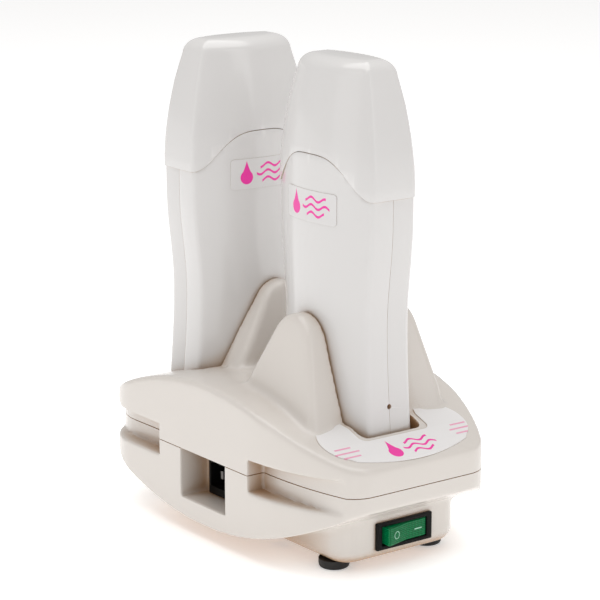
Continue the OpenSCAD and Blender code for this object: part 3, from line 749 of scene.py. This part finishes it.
def wax_mark_group():
    """Takes a place in millimetres from the mark's middle and gives 1 inside its printed shapes."""
    group = bpy.data.node_groups.new("wax_mark", "ShaderNodeTree")
    for label in ("Across", "Up"):
        group.interface.new_socket(label, in_out="INPUT", socket_type="NodeSocketFloat")
    group.interface.new_socket("Mask", in_out="OUTPUT", socket_type="NodeSocketFloat")
    enter, leave = group.nodes.new("NodeGroupInput"), group.nodes.new("NodeGroupOutput")
    across_mark, up_mark = enter.outputs["Across"], enter.outputs["Up"]
    side = calculate(group, "ABSOLUTE", calculate(group, "ADD", across_mark, 9.0))
    below = calculate(group, "ADD", up_mark, 1.6)
    radius = calculate(group, "SQRT", calculate(group, "ADD", calculate(group, "POWER", side, 2.0),
                                                calculate(group, "MULTIPLY", below, below)))
    mask = calculate(group, "LESS_THAN", radius, 3.1)
    to_tip = calculate(group, "SUBTRACT", 6.2, up_mark)
    taper = calculate(group, "MAXIMUM", calculate(group, "DIVIDE", to_tip, 7.8), 0.0)
    width = calculate(group, "MULTIPLY", calculate(group, "POWER", taper, 1.3), 3.1)
    upper = calculate(group, "MULTIPLY", calculate(group, "LESS_THAN", side, width),
                      calculate(group, "GREATER_THAN", below, 0.0))
    mask = calculate(group, "MAXIMUM", mask, upper)
    phase = calculate(group, "MULTIPLY", across_mark, 0.75)
    swing = calculate(group, "MULTIPLY", calculate(group, "SINE", phase), 0.9)
    level = calculate(group, "SUBTRACT", up_mark, swing)
    middle = calculate(group, "ABSOLUTE", calculate(group, "SUBTRACT", across_mark, 4.5))
    for row, reach in ((-3.2, 5.5), (0.0, 8.5), (3.2, 6.5)):
        near = calculate(group, "ABSOLUTE", calculate(group, "SUBTRACT", level, row))
        stroke = calculate(group, "MULTIPLY", calculate(group, "LESS_THAN", near, 0.55),
                           calculate(group, "LESS_THAN", middle, reach))
        mask = calculate(group, "MAXIMUM", mask, stroke)
    group.links.new(mask, leave.inputs["Mask"])
    return group


wax_mark = wax_mark_group()


def printed_film(name, colour, axes, origin, mark_scale, bar_rows=()):
    """Pale vinyl with the pink mark set in the plane of two axes, and plain paler bars beside it."""
    material = moulded(name, colour, (0.62, 0.55, 0.48), 0.32, 0.05, coat=0.15)
    tree = material.node_tree
    shader = tree.nodes["Principled BSDF"]
    place = tree.nodes.new("ShaderNodeTexCoord")
    parts = tree.nodes.new("ShaderNodeSeparateXYZ")
    tree.links.new(place.outputs["Object"], parts.inputs["Vector"])
    flat = []
    for (axis, sign), start in zip(axes, origin):
        shifted = calculate(tree, "SUBTRACT", parts.outputs[axis], start * mm)
        flat.append(calculate(tree, "MULTIPLY", shifted, sign / (mm * mark_scale)))
    mark = tree.nodes.new("ShaderNodeGroup")
    mark.node_tree = wax_mark
    tree.links.new(flat[0], mark.inputs["Across"])
    tree.links.new(flat[1], mark.inputs["Up"])
    printed = tree.nodes.new("ShaderNodeMix")
    printed.data_type = "RGBA"
    printed.inputs["B"].default_value = (0.9, 0.03, 0.38, 1)
    finish = [node for node in tree.nodes if node.type == "GROUP" and node.node_tree == moulding][0]
    tree.links.new(mark.outputs["Mask"], printed.inputs["Factor"])
    tree.links.new(finish.outputs["Colour"], printed.inputs["A"])
    top = printed.outputs["Result"]
    for middle, row, reach in bar_rows:
        mirrored = calculate(tree, "ABSOLUTE", flat[0])
        aside = calculate(tree, "ABSOLUTE", calculate(tree, "SUBTRACT", mirrored, middle))
        above = calculate(tree, "ABSOLUTE", calculate(tree, "SUBTRACT", flat[1], row))
        inside = calculate(tree, "MULTIPLY", calculate(tree, "LESS_THAN", aside, reach),
                           calculate(tree, "LESS_THAN", above, 0.42))
        bar = tree.nodes.new("ShaderNodeMix")
        bar.data_type = "RGBA"
        bar.inputs["B"].default_value = (0.84, 0.36, 0.52, 1)
        tree.links.new(inside, bar.inputs["Factor"])
        tree.links.new(top, bar.inputs["A"])
        top = bar.outputs["Result"]
    tree.links.new(top, shader.inputs["Base Color"])
    return material


lobe_x, lobe_y0, lobe_r = 27.5, -75.0, 14.2
front_arc = arc(0, -5.0, 90.6, -90 + 21, -90, 10)
label_right = [(x, y) for x, y in reversed(front_arc)] + arc(lobe_x, lobe_y0, lobe_r, -60, 90, 14)
label = plate("front_lobe_film", both_sides(label_right), 40, 90)
lift = 0.05
under = [(y, float(arch_at(y)) + lift) for y in range(-104, -40, 2)]
over = [(y, z + 0.4) for y, z in reversed(under)]
combine(label, across("film_depth", under + over), "INTERSECT")
socket_rim = plate("socket_rim", well_outline(3.4), 30, 100)
at_station(socket_rim, "front")
combine(label, socket_rim, "DIFFERENCE")
bars = [(30.0, 6.6, 4.0), (30.0, 3.8, 6.5), (30.0, 1.0, 5.2)]
dress(label, printed_film("lobe_film", (0.83, 0.815, 0.81), ((0, 1), (1, 1)), (1.0, -87.0), 1.15, bars))
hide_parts("front_label")
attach(label, "base")

sticker_levels, sticker_half = {"front": 167.2, "rear": 170.6}, 18.2
for station in stations:
    turn = math.degrees(math.asin(21.0 / crown_r))
    ring = arc(crown_c, 0, crown_r - 0.14, 180 - turn, 180 + turn, 24)
    ring += arc(crown_c, 0, crown_r - 0.38, 180 + turn, 180 - turn, 24)
    sticker = plate(station + "_heater_film", ring, 150, 185)
    sticker_z = sticker_levels[station]
    corners = [(y, z + sticker_z) for y, z in rounded_bar(sticker_half, 7.4, 1.6, 5)]
    combine(sticker, across("film_corners", corners), "INTERSECT")
    at_station(sticker, station)
    film_axes = ((1, -1), (2, 1)) if station == "front" else ((0, 1), (2, 1))
    film_start = (stations[station][0] if station == "front" else 0.0, sticker_z)
    dress(sticker, printed_film(station + "_film", (0.74, 0.725, 0.72), film_axes, film_start, 1.1))
    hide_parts(station + "_sticker")
    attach(sticker, station + "_heater")


# ---------- rubber feet ----------
# Four round moulded feet with a rolled lower edge and a shallow hollow under each, pushed into
# the corners of the foot box.
rubber = moulded("black_rubber", (0.014, 0.013, 0.013), (0.004, 0.004, 0.004), 0.62, 0.5, coat=0.0)
foot_plan = arc(0, 0, 7.4, 0, 350, 35)
for number, (x, y) in enumerate([(-28, -66.4), (28, -66.4), (-28, 66.4), (28, 66.4)]):
    foot = tower("rubber_foot_" + str(number + 1), foot_plan,
                 [(0, 0.86, 0.86), (0.35, 0.93, 0.93), (1.0, 0.98, 0.98), (2.0, 1, 1), (4.3, 1, 1)])
    combine(foot, peg("hollow", (0, 0, -1), 3.2, 1.8), "DIFFERENCE")
    combine(foot, peg("stud", (0, 0, 4.2), 2.5, 4.8), "UNION")
    foot.location = (x * mm, y * mm, 0)
    settle(foot)
    bpy.ops.object.shade_smooth_by_angle(angle=math.radians(40))
    dress(foot, rubber)
    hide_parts("rubber_feet")
    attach(foot, "base")


# ---------- mains switch ----------
# A lit rocker switch that snaps into the front of the foot box: a black frame and box moulded as
# one, and a clear green rocker ribbed inside to scatter its lamp, marked with a ring and a bar.
black = moulded("black_nylon", (0.0055, 0.0053, 0.005), (0.003, 0.003, 0.003), 0.4, 0.25, coat=0.0)
black.node_tree.nodes["Principled BSDF"].inputs["Specular IOR Level"].default_value = 0.12
switch_z = 16.1
bezel = block("switch_frame", (-16.5, -84.5, 9.5), (16.5, -82.5, 22.7))
combine(bezel, block("switch_box", (-14.6, -83.0, 10.8), (14.6, -62.7, 21.4)), "UNION")
combine(bezel, block("mouth", (-13.4, -90, switch_z - 4.7), (13.4, -68.9, switch_z + 4.7)), "DIFFERENCE")
combine(bezel, block("tab_gap", (-10.6, -72, 13.5), (10.6, -60, 18.7)), "DIFFERENCE")
soften(bezel, 0.45)
dress(bezel, black)
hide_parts("switch_housing")
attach(bezel, "base")


def green_lens():
    """Clear green moulding with a square grid of small prisms under its face."""
    material = moulded("green_lens", (0.001, 0.12, 0.04), (0.001, 0.04, 0.015), 0.3, 0.05, coat=0.12)
    tree = material.node_tree
    shader = tree.nodes["Principled BSDF"]
    place = tree.nodes.new("ShaderNodeTexCoord")
    parts = tree.nodes.new("ShaderNodeSeparateXYZ")
    tree.links.new(place.outputs["Object"], parts.inputs["Vector"])
    ribs = []
    for axis in (0, 2):
        phase = calculate(tree, "MULTIPLY", parts.outputs[axis], 3400.0)
        ribs.append(calculate(tree, "ABSOLUTE", calculate(tree, "SINE", phase)))
    prism = calculate(tree, "MULTIPLY", *ribs)
    bump = tree.nodes.new("ShaderNodeBump")
    bump.inputs["Distance"].default_value = 0.0003
    bump.inputs["Strength"].default_value = 0.8
    tree.links.new(prism, bump.inputs["Height"])
    tree.links.new(bump.outputs["Normal"], shader.inputs["Normal"])
    ramp = tree.nodes.new("ShaderNodeMix")
    ramp.data_type = "RGBA"
    ramp.inputs["A"].default_value = (0.0, 0.05, 0.016, 1)
    ramp.inputs["B"].default_value = (0.001, 0.24, 0.075, 1)
    tree.links.new(prism, ramp.inputs["Factor"])
    tree.links.new(ramp.outputs["Result"], shader.inputs["Base Color"])
    shader.inputs["Specular IOR Level"].default_value = 0.14
    shader.inputs["Emission Strength"].default_value = 0.25
    tree.links.new(ramp.outputs["Result"], shader.inputs["Emission Color"])
    return material


tilt, pivot_y = 8.0, -79.7
shape = [(-12.7, -5.6), (-11.6, -6.2), (0, -4.9), (11.6, -6.2), (12.7, -5.6),
         (11.2, 1.5), (4, 2.8), (-4, 2.8), (-11.2, 1.5)]
key = plate("green_rocker", shape, switch_z - 4.4, switch_z + 4.4)
soften(key, 0.5, 3, 12)
sign_x, sign_y, sign_lean = 7.2, -5.75, 6.4
bpy.ops.object.select_all(action="DESELECT")
bpy.ops.mesh.primitive_torus_add(
    major_radius=1.75 * mm, minor_radius=0.22 * mm, major_segments=40, minor_segments=8,
    location=(-sign_x * mm, sign_y * mm, switch_z * mm),
    rotation=(math.radians(90), 0, math.radians(sign_lean)))
off_ring = bpy.context.object
on_bar = block("on_bar", (-2.2, -0.15, -0.28), (2.2, 0.15, 0.28))
on_bar.location = (sign_x * mm, sign_y * mm, switch_z * mm)
on_bar.rotation_euler = (0, 0, math.radians(-sign_lean))
for sign, name in ((off_ring, "off_ring"), (on_bar, "on_bar")):
    settle(sign)
    sign.name = sign.data.name = name
    sign.location = (0, pivot_y * mm, 0)
    sign.rotation_euler = (0, 0, math.radians(tilt))
    settle(sign)
    bpy.ops.object.shade_smooth_by_angle(angle=math.radians(40))
    dress(sign, moulded(name + "_ink", (0.32, 0.62, 0.46), (0.2, 0.4, 0.3), 0.4, 0.1, coat=0.0))
    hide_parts("switch_rocker")
    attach(sign, "rocker")
key.location = (0, pivot_y * mm, 0)
key.rotation_euler = (0, 0, math.radians(tilt))
settle(key)
dress(key, green_lens())
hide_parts("switch_rocker")
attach(key, "rocker")


# ---------- works inside ----------
# Everything under the shells keeps its frame shape and gets its own finish: wound and stamped
# metal, insulated wire, ceramic, the refill's clear plastic and the wax it holds.
def metal(name, colour, roughness, grain_scale, stretch):
    """Bare metal with drawn or turned lines, dull patches and darker patches of tarnish."""
    material = bpy.data.materials.new(name)
    material.use_nodes = True
    tree = material.node_tree
    shader = tree.nodes["Principled BSDF"]
    shader.inputs["Metallic"].default_value = 1.0
    place = tree.nodes.new("ShaderNodeTexCoord")
    drawn = tree.nodes.new("ShaderNodeMapping")
    drawn.inputs["Scale"].default_value = stretch
    lines = tree.nodes.new("ShaderNodeTexNoise")
    lines.inputs["Scale"].default_value = grain_scale
    lines.inputs["Detail"].default_value = 5
    tree.links.new(place.outputs["Object"], drawn.inputs["Vector"])
    tree.links.new(drawn.outputs["Vector"], lines.inputs["Vector"])
    dull = tree.nodes.new("ShaderNodeMapRange")
    dull.inputs["To Min"].default_value = roughness - 0.1
    dull.inputs["To Max"].default_value = roughness + 0.15
    tree.links.new(lines.outputs["Fac"], dull.inputs["Value"])
    tree.links.new(dull.outputs["Result"], shader.inputs["Roughness"])
    tint = tree.nodes.new("ShaderNodeMix")
    tint.data_type = "RGBA"
    tint.inputs["A"].default_value = (*colour, 1)
    tint.inputs["B"].default_value = (*[value * 0.7 for value in colour], 1)
    tree.links.new(lines.outputs["Fac"], tint.inputs["Factor"])
    tree.links.new(tint.outputs["Result"], shader.inputs["Base Color"])
    bump = tree.nodes.new("ShaderNodeBump")
    bump.inputs["Distance"].default_value = 0.00003
    tree.links.new(lines.outputs["Fac"], bump.inputs["Height"])
    tree.links.new(bump.outputs["Normal"], shader.inputs["Normal"])
    return material


def finish_node(node, material):
    """Gives a node that keeps its frame shape a material of its own."""
    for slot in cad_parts[node].material_slots:
        slot.material = material


steel = metal("zinc_steel", (0.62, 0.62, 0.63), 0.32, 300, (1, 1, 1))
brass = metal("brass", (0.78, 0.56, 0.24), 0.28, 260, (1, 1, 3))
alloy = metal("drawn_aluminium", (0.72, 0.73, 0.74), 0.38, 220, (6, 6, 0.4))
ceramic = moulded("steatite", (0.78, 0.76, 0.70), (0.4, 0.36, 0.3), 0.55, 0.4, coat=0.0)
heater_stone = moulded("heating_ceramic", (0.12, 0.115, 0.11), (0.05, 0.05, 0.05), 0.7, 0.6, coat=0.0)
brown_wire = moulded("brown_insulation", (0.13, 0.045, 0.02), (0.05, 0.02, 0.01), 0.4, 0.2)
blue_wire = moulded("blue_insulation", (0.02, 0.09, 0.42), (0.01, 0.03, 0.15), 0.4, 0.2)
red_wire = moulded("red_silicone", (0.45, 0.03, 0.02), (0.2, 0.01, 0.01), 0.5, 0.3)
refill = moulded("refill_polypropylene", (0.80, 0.80, 0.78), (0.6, 0.55, 0.45), 0.3, 0.2, scatter=0.25)
roll = moulded("roller_nylon", (0.84, 0.83, 0.80), (0.6, 0.5, 0.35), 0.25, 0.2, scatter=0.15)
neon = moulded("neon_glass", (0.80, 0.36, 0.16), (0.4, 0.2, 0.1), 0.08, 0.02, coat=0.8, scatter=0.3)
wax = moulded("honey_wax", (0.62, 0.30, 0.06), (0.35, 0.15, 0.03), 0.28, 0.25, coat=0.5, scatter=0.5)

finish_node("inlet_body", black)
finish_node("inlet_pins", steel)
finish_node("base_screws", steel)
finish_node("switch_lamp", neon)
finish_node("switch_terminals", brass)
finish_node("terminal_block", ceramic)
finish_node("wire_live", brown_wire)
finish_node("wire_neutral", blue_wire)
finish_node("wire_front_pair", red_wire)
finish_node("wire_rear_pair", red_wire)
for station in stations:
    for part, material in (
            ("shell_screws", steel), ("contact_pads", brass), ("thermostat", ceramic),
            ("heater_sleeve", alloy),
            ("heater_plates", heater_stone), ("heater_leads", red_wire), ("indicator_lamp", neon),
            ("cartridge", refill), ("wax_fill", wax), ("roller_head", refill), ("roller", roll),
            ("contact_block", black), ("pin_a", brass), ("pin_b", brass)):
        finish_node(station + "_" + part, material)


# ---------- contact springs ----------
# A short wound spring of steel wire holds each contact pin up against its heater.
# The four are alike.
wire_r, turns = 0.32, 5
for station in stations:
    for mark in ("a", "b"):
        spring_low, spring_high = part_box(station + "_spring_" + mark)
        coil_r = (spring_high.x - spring_low.x) / mm / 2 - wire_r
        bpy.ops.object.select_all(action="DESELECT")
        bpy.ops.mesh.primitive_circle_add(
            vertices=10, radius=wire_r * mm, fill_type="NGON",
            location=(coil_r * mm, 0, wire_r * mm), rotation=(math.pi / 2, 0, 0))
        spring = bpy.context.object
        spring.name = spring.data.name = station + "_contact_spring_" + mark
        settle(spring)
        winding = spring.modifiers.new("winding", "SCREW")
        winding.angle, winding.steps, winding.render_steps = math.tau * turns, 24 * turns, 24 * turns
        winding.screw_offset = spring_high.z - spring_low.z - 2 * wire_r * mm
        winding.use_normal_calculate = True
        bpy.ops.object.modifier_apply(modifier=winding.name)
        bpy.ops.object.mode_set(mode="EDIT")
        bpy.ops.mesh.select_all(action="SELECT")
        bpy.ops.mesh.remove_doubles(threshold=0.000001)
        bpy.ops.object.mode_set(mode="OBJECT")
        face_out(spring)
        middle = (spring_low + spring_high) / 2
        spring.location = (middle.x, middle.y, spring_low.z)
        settle(spring)
        bpy.ops.object.shade_smooth_by_angle(angle=math.radians(50))
        dress(spring, steel)
        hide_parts(station + "_spring_" + mark)
        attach(spring, "base")
        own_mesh(spring)
